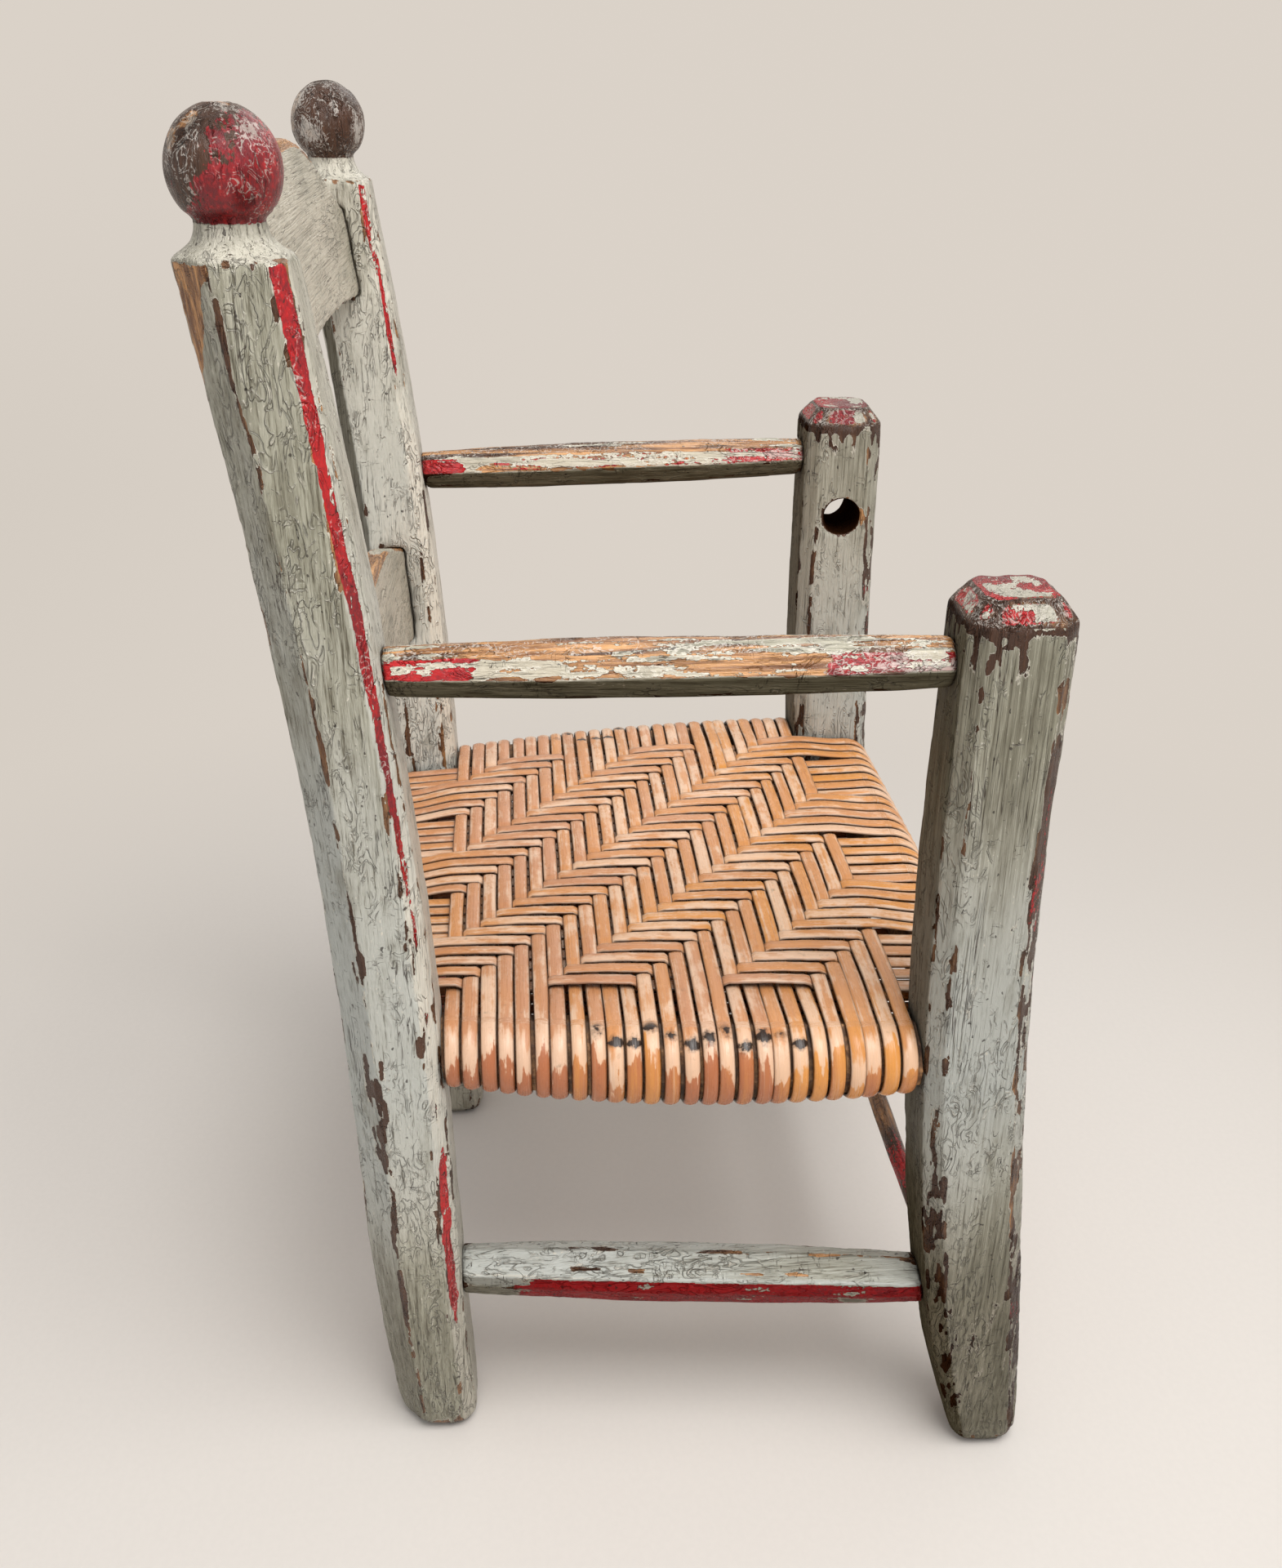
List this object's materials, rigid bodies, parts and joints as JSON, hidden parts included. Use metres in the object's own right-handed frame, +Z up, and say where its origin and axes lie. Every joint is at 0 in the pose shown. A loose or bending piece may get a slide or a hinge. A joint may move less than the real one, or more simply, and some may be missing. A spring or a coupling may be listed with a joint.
{
  "type": "child chair",
  "caption": "Small rustic wooden armchair for a child, with hewn painted posts, turned ball finials, arched slats, shaved arms and stretchers and a twill-woven splint seat.",
  "frame": {"origin": "on the floor, under the middle of the chair's box", "axes": "+Z up, -Y the way the chair faces, +X to the sitter's left"},
  "size_m": [0.347, 0.331, 0.589],
  "materials": {
    "painted_wood": "worn grey-green paint over red, semi-gloss",
    "bare_wood": "bare shaved hardwood",
    "splint": "varnished ash splint, worn"
  },
  "bodies": {
    "root": {"back_post_left": "painted_wood", "back_post_right": "painted_wood", "front_post_left": "painted_wood", "front_post_right": "painted_wood", "arm_left": "painted_wood", "arm_right": "painted_wood", "upper_slat": "painted_wood", "lower_slat": "painted_wood", "side_stretcher_left": "painted_wood", "side_stretcher_right": "painted_wood", "front_stretcher": "painted_wood", "back_stretcher": "painted_wood", "slat_pegs": "bare_wood", "seat_rail_front": "bare_wood", "seat_rail_back": "bare_wood", "seat_rail_left": "bare_wood", "seat_rail_right": "bare_wood", "seat_cross_strips": "splint", "seat_long_strips": "splint"}
  },
  "joints": []
}
